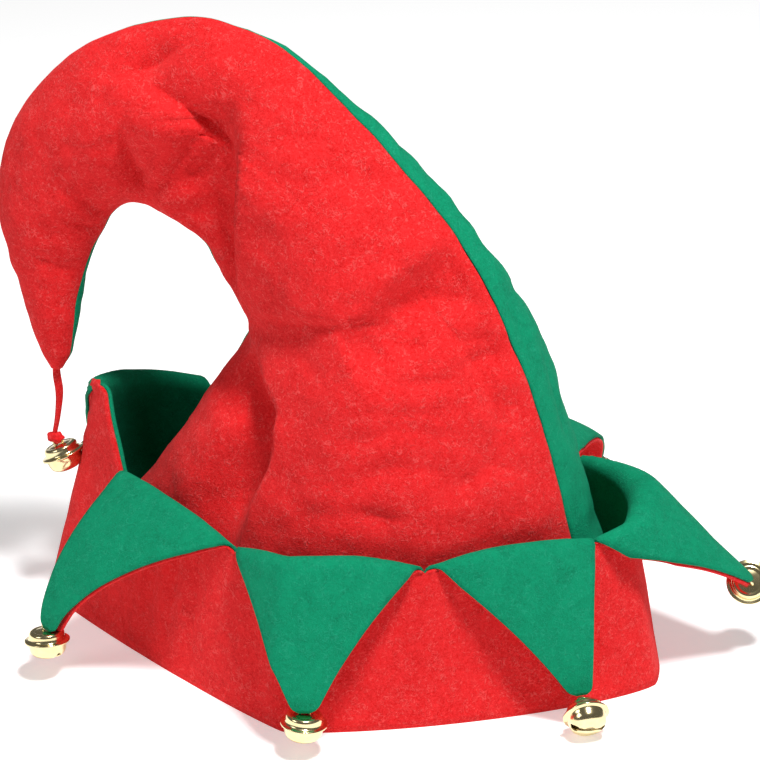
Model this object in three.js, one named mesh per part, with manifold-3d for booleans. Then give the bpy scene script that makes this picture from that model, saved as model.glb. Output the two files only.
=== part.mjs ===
// Elf hat of felt: a two-panel horn crown whose peak curls over, inside a turned-up cuff of two
// layers cut to points, each point folded outward and weighted with a jingle bell.
// Millimetres, +Z up, length along X with the curled peak toward -X, the red panel toward -Y.
import * as THREE from "three";
import Module from "manifold-3d";

const wasm = await Module();
wasm.setup();

// Driving sizes
const RIM_LENGTH = 231; // rim, front corner to back corner
const RIM_NEAR = 68; // rim, middle line to the red side
const RIM_FAR = 76; // rim, middle line to the green side
const HAT_HEIGHT = 231; // floor to the top of the curled peak
const CUFF_HEIGHT = 57; // floor to the valleys between the points
const POINT_LENGTH = 69; // valley line to the tip of a point, on the flat felt
const CROWN_FELT = 1.5; // wall of the crown
const CUFF_FELT = 1.2; // wall of each cuff layer
const LAYER_GAP = 0.3; // between the two cuff layers, and along the crown's seams
const LINING_LIFT = 0.6; // lining's lower edge above the floor
const BELL_FLANGE = 16.2; // bell, over the crimped flange
const BELL_BODY = 13.6; // bell, over the body
const BELL_TOP = 3.9; // flange to the flat top
const BELL_BOTTOM = 6.1; // flange to the lowest point
const BELL_WALL = 0.7;
const SHANK_RADIUS = 1.9; // middle of the wire loop on the bell
const SHANK_WIRE = 1.0;
const TIP_WIDTH = 8.6; // blunt end of a point
const TIP_SPREAD = 0.68; // each layer's way out round the bell's wire loop at the end of a point
const STRIP_LENGTH = 28; // tip of the crown to the bell's loop
const STRIP_WIDTH = 2.8;
const STRIP_THICK = 1.5;
const SEAM_TURN = 16; // both seams at the rim, round from the profile toward the red side
const DENT_WIDTH = 10; // a dent or drag fold of the crown, half way across
const DENT_DEPTH = 5; // a dent or drag fold of the crown at its deepest
const FOLD_RADIUS = 4; // felt of a point where it folds over
const HALF = RIM_LENGTH / 2;

const RED = 0xd8202a;
const GREEN = 0x12905a;
const BRASS = 0xe3cf86;

// The rim on the floor and the line of the valleys above it, as shares of the rim's half sizes.
// front and back are the reach toward -X and +X; the powers set how pointed each side is.
const PLANS = {
  rim: { front: 1, back: 1, near: RIM_NEAR, far: RIM_FAR, pFront: 1.09, pBack: 1.25, pFar: 2.0 },
  valley: { front: 0.874, back: 0.9, near: 62, far: 70, pFront: 1.1, pBack: 1.25, pFar: 2.2 },
};

// Crown sections from the rim to the tip. x is a share of half the rim, z of the height, near and
// far of the rim's half widths; the powers set how flat each side is; turnOut and turnIn are how far
// the outer and inner seams sit round from the profile, as shares of SEAM_TURN.
const CROWN = [
  { outX: 0.97, outZ: 0, inX: -0.966, inZ: 0, near: 0.95, far: 0.962,
    pIn: 1.09, pOut: 1.24, pFar: 2, turnOut: 0.75, turnIn: 0.875 },
  { outX: 0.883, outZ: 0.121, inX: -0.823, inZ: 0.117, near: 0.85, far: 0.87,
    pIn: 1.2, pOut: 1.3, pFar: 1.95, turnOut: 0.7, turnIn: 0.875 },
  { outX: 0.797, outZ: 0.238, inX: -0.667, inZ: 0.229, near: 0.75, far: 0.8,
    pIn: 1.42, pOut: 1.38, pFar: 1.95, turnOut: 0.66, turnIn: 0.8125 },
  { outX: 0.742, outZ: 0.329, inX: -0.528, inZ: 0.325, near: 0.68, far: 0.725,
    pIn: 1.6, pOut: 1.52, pFar: 1.92, turnOut: 0.64, turnIn: 0.75 },
  { outX: 0.696, outZ: 0.41, inX: -0.424, inZ: 0.411, near: 0.63, far: 0.65,
    pIn: 1.65, pOut: 1.65, pFar: 1.92, turnOut: 0.68, turnIn: 0.625 },
  { outX: 0.641, outZ: 0.493, inX: -0.336, inZ: 0.482, near: 0.57, far: 0.58,
    pIn: 1.62, pOut: 1.62, pFar: 1.9, turnOut: 0.68, turnIn: 0.375 },
  { outX: 0.58, outZ: 0.572, inX: -0.291, inZ: 0.532, near: 0.52, far: 0.515,
    pIn: 1.58, pOut: 1.58, pFar: 1.84, turnOut: 0.68, turnIn: 0.25 },
  { outX: 0.494, outZ: 0.654, inX: -0.332, inZ: 0.575, near: 0.47, far: 0.445,
    pIn: 1.55, pOut: 1.55, pFar: 1.78, turnOut: 0.6, turnIn: 0.125 },
  { outX: 0.36, outZ: 0.739, inX: -0.39, inZ: 0.615, near: 0.42, far: 0.38,
    pIn: 1.5, pOut: 1.5, pFar: 1.7, turnOut: 0.42, turnIn: 0 },
  { outX: 0.191, outZ: 0.822, inX: -0.434, inZ: 0.653, near: 0.37, far: 0.33,
    pIn: 1.5, pOut: 1.5, pFar: 1.7, turnOut: 0.3, turnIn: 0 },
  { outX: 0.006, outZ: 0.902, inX: -0.509, inZ: 0.68, near: 0.33, far: 0.3,
    pIn: 1.5, pOut: 1.5, pFar: 1.7, turnOut: 0.15, turnIn: 0 },
  { outX: -0.198, outZ: 0.972, inX: -0.575, inZ: 0.694, near: 0.3, far: 0.27,
    pIn: 1.5, pOut: 1.5, pFar: 1.7, turnOut: 0, turnIn: 0 },
  { outX: -0.423, outZ: 1, inX: -0.623, inZ: 0.703, near: 0.28, far: 0.25,
    pIn: 1.5, pOut: 1.5, pFar: 1.7, turnOut: -0.1, turnIn: 0 },
  { outX: -0.621, outZ: 0.982, inX: -0.686, inZ: 0.701, near: 0.26, far: 0.23,
    pIn: 1.5, pOut: 1.5, pFar: 1.7, turnOut: -0.1, turnIn: 0 },
  { outX: -0.807, outZ: 0.936, inX: -0.74, inZ: 0.68, near: 0.24, far: 0.21,
    pIn: 1.55, pOut: 1.55, pFar: 1.73, turnOut: -0.05, turnIn: 0 },
  { outX: -0.97, outZ: 0.861, inX: -0.775, inZ: 0.65, near: 0.21, far: 0.18,
    pIn: 1.6, pOut: 1.6, pFar: 1.76, turnOut: 0, turnIn: 0 },
  { outX: -1.068, outZ: 0.771, inX: -0.808, inZ: 0.619, near: 0.18, far: 0.155,
    pIn: 1.65, pOut: 1.65, pFar: 1.8, turnOut: 0, turnIn: -0.0625 },
  { outX: -1.101, outZ: 0.68, inX: -0.838, inZ: 0.576, near: 0.155, far: 0.135,
    pIn: 1.7, pOut: 1.7, pFar: 1.82, turnOut: 0, turnIn: -0.0625 },
  { outX: -1.078, outZ: 0.601, inX: -0.856, inZ: 0.537, near: 0.13, far: 0.115,
    pIn: 1.75, pOut: 1.75, pFar: 1.85, turnOut: 0, turnIn: -0.125 },
  { outX: -1.031, outZ: 0.524, inX: -0.872, inZ: 0.494, near: 0.105, far: 0.092,
    pIn: 1.85, pOut: 1.85, pFar: 1.9, turnOut: 0, turnIn: -0.125 },
  { outX: -0.991, outZ: 0.455, inX: -0.89, inZ: 0.448, near: 0.078, far: 0.07,
    pIn: 2, pOut: 2, pFar: 2, turnOut: 0, turnIn: -0.0625 },
  { outX: -0.97, outZ: 0.411, inX: -0.914, inZ: 0.409, near: 0.055, far: 0.05,
    pIn: 2, pOut: 2, pFar: 2, turnOut: 0, turnIn: 0 },
];

// Dents and drag folds of the crown: from one place to another on it (along 0 rim..1 tip, round
// 0 outer seam..1 inner seam across the panel), with shares of DENT_WIDTH and DENT_DEPTH.
const FOLDS = [
  { side: "near", along: 0.41, round: 0.5, along2: 0.37, round2: 0.8, wide: 1.1, deep: 1 },
  { side: "near", along: 0.5, round: 0.5, along2: 0.46, round2: 0.8, wide: 0.9, deep: 0.9 },
  { side: "near", along: 0.58, round: 0.55, along2: 0.55, round2: 0.8, wide: 0.8, deep: 0.6 },
  { side: "near", along: 0.64, round: 0.35, along2: 0.6, round2: 0.75, wide: 0.8, deep: 0.4 },
  { side: "near", along: 0.28, round: 0.25, along2: 0.3, round2: 0.6, wide: 0.9, deep: 0.5 },
  { side: "near", along: 0.2, round: 0.3, along2: 0.17, round2: 0.55, wide: 1.2, deep: 0.6 },
  { side: "near", along: 0.22, round: 0.66, along2: 0.12, round2: 0.76, wide: 0.9, deep: 0.8 },
  { side: "near", along: 0.75, round: 0.35, along2: 0.7, round2: 0.6, wide: 0.9, deep: 0.3 },
  { side: "far", along: 0.42, round: 0.5, along2: 0.39, round2: 0.8, wide: 1.1, deep: 0.9 },
  { side: "far", along: 0.53, round: 0.5, along2: 0.49, round2: 0.8, wide: 0.9, deep: 0.8 },
  { side: "far", along: 0.27, round: 0.28, along2: 0.25, round2: 0.5, wide: 0.9, deep: 0.6 },
  { side: "far", along: 0.14, round: 0.35, along2: 0.2, round2: 0.7, wide: 1.2, deep: 0.6 },
];

// Valleys between the points, as shares of the way round the valley line from the front corner
// over the red side, with each valley's height as a share of the cuff's.
const VALLEYS = [
  { at: 0.0555, high: 1.09 },
  { at: 0.1795, high: 1.0 },
  { at: 0.3186, high: 1.0 },
  { at: 0.4352, high: 1.02 },
  { at: 0.5846, high: 1.02 },
  { at: 0.725, high: 1.0 },
  { at: 0.8654, high: 1.06 },
];

// Points of the cuff, point 1 between valleys 0 and 1 and so on, point 0 over the front corner.
// stand: how far the felt goes on upward before it folds over; roll: the fold's share of
// FOLD_RADIUS; lean: the folded part's angle off the vertical; droop: the lean at its end;
// swing: its turn along the rim; skew: how much higher the fold is at its end; arch: how far the
// sides sag below the middle; long: its length. stand, skew, arch and long are shares of
// POINT_LENGTH. seat: its bell's loop held between the layers, or hung off the end.
const POINTS = [
  { from: 0, stand: 0.029, roll: 0.8, lean: 56, droop: 16,
    swing: -30, skew: 0, arch: 0, long: 1.04, seat: "felt" },
  { from: 1, stand: 0.0725, roll: 0.95, lean: 20, droop: 8,
    swing: -16, skew: 0, arch: 0, long: 0.93, seat: "felt" },
  { from: 2, stand: 0.0362, roll: 0.85, lean: 26, droop: 20,
    swing: 46, skew: 0, arch: 0, long: 0.95, seat: "end" },
  { from: 3, stand: 0.029, roll: 1.625, lean: 48, droop: 44,
    swing: -18, skew: 0, arch: 0.1304, long: 0.92, seat: "end" },
  { from: 4, stand: 0.058, roll: 1.35, lean: 64, droop: 16,
    swing: -22, skew: 0, arch: 0.029, long: 0.98, seat: "felt" },
  { from: 5, stand: 0.058, roll: 1.05, lean: 24, droop: 6,
    swing: 0, skew: 0, arch: 0, long: 0.96, seat: "felt" },
  { from: 6, stand: 0.2754, roll: 0.75, lean: 33, droop: 16,
    swing: -26, skew: 0.2029, arch: 0, long: 0.95, seat: "felt" },
];

// Bells hung off the end of a point: which way the top of each one points, and the slack there
// as a share of SEAT_CLEAR.
const HUNG = {
  3: { topX: -0.42, topY: 0.79, topZ: 0.43, slack: 1.5 },
  4: { topX: 0.15, topY: -0.8, topZ: 0.58, slack: 2.8 },
};
const CORNER_CLEAR = 2.3; // slack over the front corner's bell, whose point ends askew
const SEAT_CLEAR = 0.6; // slack over the other bells

const TALL_STAND = 0.15; // stand past which a point goes straight up before its fold
const ROLL_LEAST = 2.1; // tightest the two layers fold
const SPREAD_LENGTH = 16; // the layers part over this much of a point's end
const SPREAD_RAMP = 9; // and reach their full parting over this much of it
const UPWARD = new THREE.Vector3(0, 0, 1);

const CROWN_ROWS = 30;
const CROWN_COLUMNS = 11;
const POINT_COLUMNS = 6;
const WALL_ROWS = [0, 0.5, 1];
const POINT_ROWS = 10;
const BELL_SIDES = 11;

function power(value, exponent) {
  return Math.sign(value) * Math.abs(value) ** exponent;
}

function mix(a, b, share) {
  return a + (b - a) * share;
}

// Smooth run through a table's rows, at a share of the way through them.
function readTable(rows, key, share) {
  const at = Math.min(Math.max(share, 0), 1) * (rows.length - 1);
  const k = Math.min(Math.floor(at), rows.length - 2);
  const f = at - k;
  const [a, b, c, d] = [-1, 0, 1, 2].map((n) => rows[Math.min(Math.max(k + n, 0), rows.length - 1)][key]);
  const before = k === 0 ? b - (c - b) : a;
  const after = k === rows.length - 2 ? c + (c - b) : d;
  const slope0 = (c - before) / 2;
  const slope1 = (after - b) / 2;
  return (
    b * (2 * f ** 3 - 3 * f ** 2 + 1) +
    slope0 * (f ** 3 - 2 * f ** 2 + f) +
    c * (-2 * f ** 3 + 3 * f ** 2) +
    slope1 * (f ** 3 - f ** 2)
  );
}

// A closed felt solid: both faces of a sheet at their distances along its normals, and its edges.
function feltSolid(points, faces, normals, low, high) {
  const count = points.length;
  const position = [];
  for (const level of [high, low]) {
    points.forEach((p, i) => {
      const d = typeof level === "function" ? level(i) : level;
      const q = p.clone().addScaledVector(normals[i], d);
      position.push(q.x, q.y, q.z);
    });
  }
  const edges = new Map();
  const index = [];
  for (const [a, b, c] of faces) {
    index.push(a, b, c, count + a, count + c, count + b);
    for (const [u, v] of [[a, b], [b, c], [c, a]]) {
      if (edges.has(`${v},${u}`)) edges.delete(`${v},${u}`);
      else edges.set(`${u},${v}`, [u, v]);
    }
  }
  for (const [u, v] of edges.values()) index.push(u, count + u, v, v, count + u, count + v);
  const geometry = new THREE.BufferGeometry();
  geometry.setAttribute("position", new THREE.Float32BufferAttribute(position, 3));
  geometry.setIndex(index);
  return geometry;
}

function sheetNormals(points, faces) {
  const normals = points.map(() => new THREE.Vector3());
  for (const face of faces) {
    for (let k = 0; k < 3; k += 1) {
      const o = points[face[k]];
      const u = points[face[(k + 1) % 3]].clone().sub(o);
      const v = points[face[(k + 2) % 3]].clone().sub(o);
      const n = new THREE.Vector3().crossVectors(u, v);
      if (n.length() > 1e-9) normals[face[k]].addScaledVector(n.normalize(), u.angleTo(v));
    }
  }
  return normals.map((n) => n.normalize());
}

// Plan of the cuff at an angle round from the front corner, the red side first.
function planPoint(plan, turn) {
  const near = Math.sin(turn) >= 0;
  const back = Math.cos(turn) < 0;
  const p = near ? (back ? plan.pBack : plan.pFront) : plan.pFar;
  const reach = HALF * (back ? plan.back : plan.front);
  const side = near ? plan.near : plan.far;
  return [-reach * power(Math.cos(turn), 2 / p), -side * power(Math.sin(turn), 2 / p)];
}

const VALLEY_LINE = (() => {
  const steps = 1440;
  const lengths = [0];
  for (let i = 1; i <= steps; i += 1) {
    const [x0, y0] = planPoint(PLANS.valley, ((i - 1) / steps) * 2 * Math.PI);
    const [x1, y1] = planPoint(PLANS.valley, (i / steps) * 2 * Math.PI);
    lengths.push(lengths[i - 1] + Math.hypot(x1 - x0, y1 - y0));
  }
  return { steps, lengths, total: lengths[steps] };
})();

function angleAt(share) {
  const wanted = (((share % 1) + 1) % 1) * VALLEY_LINE.total;
  let low = 0;
  let high = VALLEY_LINE.steps;
  while (high - low > 1) {
    const middle = (low + high) >> 1;
    if (VALLEY_LINE.lengths[middle] <= wanted) low = middle;
    else high = middle;
  }
  const span = VALLEY_LINE.lengths[high] - VALLEY_LINE.lengths[low];
  return ((low + (wanted - VALLEY_LINE.lengths[low]) / span) / VALLEY_LINE.steps) * 2 * Math.PI;
}

// The cuff's wall: up from the rim, leaning in to the valley line and on past it.
function wallPoint(share, height) {
  const turn = angleAt(share);
  const [rx, ry] = planPoint(PLANS.rim, turn);
  const [vx, vy] = planPoint(PLANS.valley, turn);
  const k = height / CUFF_HEIGHT;
  return new THREE.Vector3(mix(rx, vx, k), mix(ry, vy, k), height);
}

function outwardAt(share) {
  const a = wallPoint(share - 0.006, CUFF_HEIGHT);
  const b = wallPoint(share + 0.006, CUFF_HEIGHT);
  return new THREE.Vector3(b.y - a.y, a.x - b.x, 0).normalize();
}

function valleyOf(number) {
  const count = VALLEYS.length;
  const row = VALLEYS[number % count];
  return { at: row.at + Math.floor(number / count), high: row.high * CUFF_HEIGHT };
}

// One place on a point of the cuff: across -1..1 and a length up from the valley line.
function pointPlace(row, across, length) {
  const start = valleyOf(row.from);
  const end = valleyOf(row.from + 1);
  const whole = POINT_LENGTH * row.long;
  const left = 1 - length / whole;
  const rounding = Math.min(1, 0.62 + (0.38 * (whole - length)) / 3);
  const baseHalf = ((end.at - start.at) / 2) * VALLEY_LINE.total;
  const offset = (across * rounding * mix(TIP_WIDTH / 2, baseHalf, left ** 1.08)) / VALLEY_LINE.total;
  const middle = (start.at + end.at) / 2;
  const share = middle + offset;
  const u = (offset * VALLEY_LINE.total) / baseHalf;
  const foot = mix(start.high, end.high, (u + 1) / 2);
  const crest = row.stand > TALL_STAND ? 1 : 1 - u * u;
  const stand = (row.stand * crest + row.skew * u) * POINT_LENGTH;
  const roll = Math.max(ROLL_LEAST, row.roll * FOLD_RADIUS * (1 - 0.6 * u * u));
  const lean = THREE.MathUtils.degToRad(row.lean);
  const bend = Math.PI - lean;
  let out = 0;
  let rise = length;
  if (length > stand) {
    const turned = Math.min((length - stand) / roll, bend);
    const rest = Math.max(0, length - stand - roll * bend);
    out = roll - roll * Math.cos(turned);
    rise = Math.min(length, stand) + roll * Math.sin(turned);
    const hanging = whole - row.stand * POINT_LENGTH - row.roll * FOLD_RADIUS * bend;
    const steps = 12;
    for (let i = 0; i < steps; i += 1) {
      const through = ((i + 0.5) / steps) * (rest / hanging);
      const angle = mix(lean, THREE.MathUtils.degToRad(row.droop), Math.min(1, through) ** 2);
      out += (rest / steps) * Math.sin(angle);
      rise -= (rest / steps) * Math.cos(angle);
    }
  }
  const up = Math.min(length, stand);
  const place = wallPoint(share, foot + up);
  const straight = outwardAt(middle);
  const swung = straight.clone().applyAxisAngle(UPWARD, THREE.MathUtils.degToRad(row.swing));
  const own = outwardAt(share);
  const blend = Math.min(1, out / (3 * roll));
  const way = own.lerp(swung, 0.75 + 0.25 * blend).normalize();
  place.addScaledVector(way, out);
  const sag = row.arch * POINT_LENGTH * across * across * left;
  place.z = foot + rise - sag * Math.min(1, out / (2 * roll));
  return place;
}

// Lengths up a point at which its mesh has a row: close together through the fold.
function pointLengths(row) {
  const whole = POINT_LENGTH * row.long;
  const stand = row.stand * POINT_LENGTH;
  const folded = stand + row.roll * FOLD_RADIUS * (Math.PI - THREE.MathUtils.degToRad(row.lean));
  const tall = row.stand > TALL_STAND;
  const lengths = tall ? [stand * 0.5, stand] : [stand];
  const through = tall ? 3 : 4;
  for (let i = 1; i <= through; i += 1) lengths.push(mix(stand, folded, i / through));
  const rest = POINT_ROWS - 2 - lengths.length;
  for (let i = 1; i <= rest; i += 1) lengths.push(mix(folded, whole - 5, i / rest));
  lengths.push(whole - 3, whole);
  return lengths;
}

// The cuff as one sheet: a ring wall and its folded points, which share the vertices between them.
function cuffSheet() {
  const points = [];
  const faces = [];
  const tips = [];
  const spread = new Map();
  const count = POINTS.length * POINT_COLUMNS;
  const columns = [];
  for (const row of POINTS) {
    const start = valleyOf(row.from);
    const end = valleyOf(row.from + 1);
    for (let i = 0; i < POINT_COLUMNS; i += 1) {
      const u = i / POINT_COLUMNS;
      columns.push({ share: mix(start.at, end.at, u), top: mix(start.high, end.high, u) });
    }
  }
  for (const level of WALL_ROWS) {
    for (const column of columns) points.push(wallPoint(column.share, column.top * level));
  }
  for (let j = 0; j < WALL_ROWS.length - 1; j += 1) {
    for (let i = 0; i < count; i += 1) {
      const a = j * count + i;
      const b = j * count + ((i + 1) % count);
      faces.push([a, b, b + count], [a, b + count, a + count]);
    }
  }
  const topRow = (WALL_ROWS.length - 1) * count;
  POINTS.forEach((row, number) => {
    let below = [];
    for (let i = 0; i <= POINT_COLUMNS; i += 1) {
      below.push(topRow + ((number * POINT_COLUMNS + i) % count));
    }
    for (const length of pointLengths(row)) {
      const here = [];
      for (let i = 0; i <= POINT_COLUMNS; i += 1) {
        const toEnd = POINT_LENGTH * row.long - length;
        const parted = Math.min(1, Math.max(0, (SPREAD_LENGTH - toEnd) / SPREAD_RAMP));
        if (row.seat === "felt") spread.set(points.length, TIP_SPREAD * parted);
        here.push(points.length);
        points.push(pointPlace(row, (2 * i) / POINT_COLUMNS - 1, length));
      }
      for (let i = 0; i < POINT_COLUMNS; i += 1) {
        faces.push([below[i], below[i + 1], here[i + 1]], [below[i], here[i + 1], here[i]]);
      }
      below = here;
    }
    const end = pointPlace(row, 0, POINT_LENGTH * row.long);
    const before = pointPlace(row, 0, POINT_LENGTH * row.long - 3);
    tips.push({ end, way: end.clone().sub(before).normalize(), vertex: below[POINT_COLUMNS / 2] });
  });
  return { points, faces, normals: sheetNormals(points, faces), tips, spread };
}

// One section of the crown as a loop from the outer edge round the red side, with its lengths.
function crownSection(along) {
  const read = (key) => readTable(CROWN, key, along);
  const outer = new THREE.Vector3(read("outX") * HALF, 0, read("outZ") * HAT_HEIGHT);
  const inner = new THREE.Vector3(read("inX") * HALF, 0, read("inZ") * HAT_HEIGHT);
  const middle = outer.clone().add(inner).multiplyScalar(0.5);
  const arm = outer.clone().sub(inner).multiplyScalar(0.5);
  const [pIn, pOut, pFar] = [read("pIn"), read("pOut"), read("pFar")];
  const nearSide = read("near") * RIM_NEAR;
  const farSide = read("far") * RIM_FAR;
  const steps = 120;
  const loop = [];
  const lengths = [0];
  for (let i = 0; i <= steps; i += 1) {
    const turn = (i / steps) * 2 * Math.PI;
    const near = i < steps / 2;
    const p = near ? (i < steps / 4 ? pOut : pIn) : pFar;
    const side = near ? nearSide : farSide;
    const place = middle.clone().addScaledVector(arm, power(Math.cos(turn), 2 / p));
    place.y = -side * power(Math.sin(turn), 2 / p);
    loop.push(place);
    if (i > 0) lengths.push(lengths[i - 1] + place.distanceTo(loop[i - 1]));
  }
  return {
    loop,
    lengths,
    half: lengths[steps / 2],
    whole: lengths[steps],
    out: read("turnOut") * SEAM_TURN,
    in: read("turnIn") * SEAM_TURN,
  };
}

function alongLoop(section, length) {
  const wanted = ((length % section.whole) + section.whole) % section.whole;
  let k = 0;
  while (k < section.lengths.length - 2 && section.lengths[k + 1] < wanted) k += 1;
  const f = (wanted - section.lengths[k]) / (section.lengths[k + 1] - section.lengths[k]);
  return section.loop[k].clone().lerp(section.loop[k + 1], f);
}

// Place on a crown panel: along 0 rim..1 tip, round 0 outer seam..1 inner seam, pad mm from both.
function panelPlace(side, along, round, pad) {
  const section = crownSection(along);
  const outSeam = section.out;
  const inSeam = section.half + section.in;
  if (side === "near") return alongLoop(section, mix(outSeam + pad, inSeam - pad, round));
  return alongLoop(section, mix(section.whole + outSeam - pad, inSeam + pad, round));
}

const FOLD_LINES = FOLDS.map((fold) => ({
  ...fold,
  line: new THREE.Line3(
    panelPlace(fold.side, fold.along, fold.round, 0),
    panelPlace(fold.side, fold.along2, fold.round2, 0),
  ),
}));

// How far the felt is pressed in at a place, from the folds near it.
function pressedIn(place) {
  let depth = 0;
  for (const fold of FOLD_LINES) {
    const nearest = fold.line.closestPointToPoint(place, true, new THREE.Vector3());
    const away = nearest.distanceTo(place) / (fold.wide * DENT_WIDTH);
    depth += fold.deep * DENT_DEPTH * Math.exp(-(away ** 2));
  }
  return Math.min(depth, 1.4 * DENT_DEPTH);
}

function panelNormal(placeAt, along, round, sign) {
  const da = 0.008;
  const dr = 0.03;
  const a = placeAt(Math.max(0, along - da), round);
  const b = placeAt(Math.min(1, along + da), round);
  const c = placeAt(along, round - dr);
  const d = placeAt(along, round + dr);
  return new THREE.Vector3().crossVectors(b.sub(a), d.sub(c)).multiplyScalar(sign).normalize();
}

function crownPanel(side) {
  const sign = side === "near" ? 1 : -1;
  const smooth = (along, round) => panelPlace(side, along, round, LAYER_GAP / 2);
  const points = [];
  const normals = [];
  for (let j = 0; j <= CROWN_ROWS; j += 1) {
    const along = j / CROWN_ROWS;
    const calm = Math.min(1, along / 0.12, (1 - along) / 0.12);
    for (let i = 0; i <= CROWN_COLUMNS; i += 1) {
      const round = i / CROWN_COLUMNS;
      const place = smooth(along, round);
      const normal = panelNormal(smooth, along, round, sign);
      place.addScaledVector(normal, -pressedIn(place) * calm);
      points.push(place);
      normals.push(normal);
    }
  }
  const faces = [];
  const across = CROWN_COLUMNS + 1;
  for (let j = 0; j < CROWN_ROWS; j += 1) {
    for (let i = 0; i < CROWN_COLUMNS; i += 1) {
      const a = j * across + i;
      const quad = [[a, a + 1, a + across + 1], [a, a + across + 1, a + across]];
      for (const [u, v, w] of quad) faces.push(side === "near" ? [u, w, v] : [u, v, w]);
    }
  }
  for (let i = 0; i < across; i += 1) {
    normals[i].z = 0;
    normals[i].normalize();
  }
  return feltSolid(points, faces, normals, -CROWN_FELT / 2, CROWN_FELT / 2);
}

function toManifold(geometry) {
  const position = geometry.attributes.position.array;
  const index = geometry.index ? geometry.index.array : [...Array(position.length / 3).keys()];
  const mesh = new wasm.Mesh({
    numProp: 3,
    vertProperties: new Float32Array(position),
    triVerts: new Uint32Array(index),
  });
  mesh.merge();
  return new wasm.Manifold(mesh);
}

function fromManifold(solid) {
  const mesh = solid.getMesh();
  const geometry = new THREE.BufferGeometry();
  geometry.setAttribute("position", new THREE.Float32BufferAttribute(mesh.vertProperties, 3));
  geometry.setIndex([...mesh.triVerts]);
  return geometry;
}

// A jingle bell: a drum-topped upper half and a cup crimped to it at a thin flange, a slot with
// widened ends across the bottom, and a wire loop on top. Its flange is at z 0.
function bellGeometry() {
  const body = BELL_BODY / 2;
  const flange = BELL_FLANGE / 2;
  const outline = [
    [0, -BELL_BOTTOM],
    [body * 0.62, -BELL_BOTTOM + 0.9],
    [body * 0.9, -BELL_BOTTOM + 2.3],
    [body, -0.8],
    [flange, -0.4],
    [flange, 0.4],
    [body * 0.94, 0.8],
    [body * 0.92, BELL_TOP - 0.9],
    [body * 0.62, BELL_TOP],
    [0, BELL_TOP],
  ];
  const inside = [
    [0, -BELL_BOTTOM + BELL_WALL],
    [body * 0.88 - BELL_WALL, -BELL_BOTTOM + 2.4],
    [body * 0.75 - BELL_WALL, BELL_TOP - 1.1],
    [0, BELL_TOP - 0.9],
  ];
  const lathe = (rows) => {
    const spots = rows.map(([r, z]) => new THREE.Vector2(r, z));
    return toManifold(new THREE.LatheGeometry(spots, BELL_SIDES));
  };
  const shell = lathe(outline).subtract(lathe(inside));
  const slotLong = BELL_BODY * 0.74;
  const bar = wasm.Manifold.cube([slotLong, 4, 1.1], true).translate([0, -BELL_BOTTOM, 0]);
  const drill = wasm.Manifold.cylinder(4, 1.4, 1.4, 4, true).rotate([90, 0, 0]);
  const ends = [-1, 1].map((side) => drill.translate([(side * slotLong) / 2, -BELL_BOTTOM + 1, 0]));
  const loop = toManifold(new THREE.TorusGeometry(SHANK_RADIUS, SHANK_WIRE / 2, 4, 8));
  const placed = loop.translate([0, BELL_TOP + SHANK_RADIUS * 0.72, 0]);
  const whole = shell.subtract(bar).subtract(ends[0]).subtract(ends[1]).add(placed);
  return fromManifold(whole.rotate([90, 0, 0]));
}

const BELL = bellGeometry();
const BELL_HANG = BELL_TOP + SHANK_RADIUS * 1.72 + SHANK_WIRE / 2;

const group = new THREE.Group();
group.name = "elf_hat";

function addMesh(name, geometry, color, metal) {
  geometry.computeVertexNormals();
  const material = new THREE.MeshStandardMaterial({
    color,
    roughness: metal ? 0.22 : 0.95,
    metalness: metal ? 1 : 0,
  });
  const mesh = new THREE.Mesh(geometry, material);
  mesh.name = name;
  group.add(mesh);
  return mesh;
}

// A bell with its flange's middle at a place, its top toward top and its loop's plane square to side.
function addBell(name, middle, top, side) {
  const up = top.clone().normalize();
  const right = new THREE.Vector3().crossVectors(side, up).normalize();
  const across = new THREE.Vector3().crossVectors(up, right);
  const matrix = new THREE.Matrix4().makeBasis(right, across, up).setPosition(middle);
  return addMesh(name, BELL.clone().applyMatrix4(matrix), BRASS, true);
}

addMesh("crown_red", crownPanel("near"), RED, false);
addMesh("crown_green", crownPanel("far"), GREEN, false);

// Cuff: the red layer outside and the green lining, either side of one sheet.
const cuff = cuffSheet();
const half = LAYER_GAP / 2;
const wallCount = POINTS.length * POINT_COLUMNS;
for (let i = 0; i < wallCount; i += 1) {
  cuff.normals[i].z = 0;
  cuff.normals[i].normalize();
}
const spreadAt = (i) => cuff.spread.get(i) ?? 0;
const outerLow = (i) => half + spreadAt(i);
const outerHigh = (i) => outerLow(i) + CUFF_FELT;
const liningHigh = (i) => -half - spreadAt(i);
const liningLow = (i) => liningHigh(i) - CUFF_FELT;
addMesh("cuff_outer", feltSolid(cuff.points, cuff.faces, cuff.normals, outerLow, outerHigh), RED, false);
const raised = cuff.points.map((p, i) => (i < wallCount ? p.clone().setZ(LINING_LIFT) : p));
addMesh("cuff_lining", feltSolid(raised, cuff.faces, cuff.normals, liningLow, liningHigh), GREEN, false);

POINTS.forEach((row, i) => {
  const number = (i + 1) % POINTS.length;
  const tip = cuff.tips[i];
  const hung = HUNG[number];
  const hungTop = hung && new THREE.Vector3(hung.topX, hung.topY, hung.topZ).normalize();
  const top = hung ? hungTop : tip.way.clone().negate();
  const slack = hung ? hung.slack * SEAT_CLEAR : number === 0 ? CORNER_CLEAR : SEAT_CLEAR;
  const reach = (hung ? BELL_HANG : BELL_TOP) + slack;
  addBell(`bell_${number}`, tip.end.clone().addScaledVector(top, -reach), top, cuff.normals[tip.vertex]);
});

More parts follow.
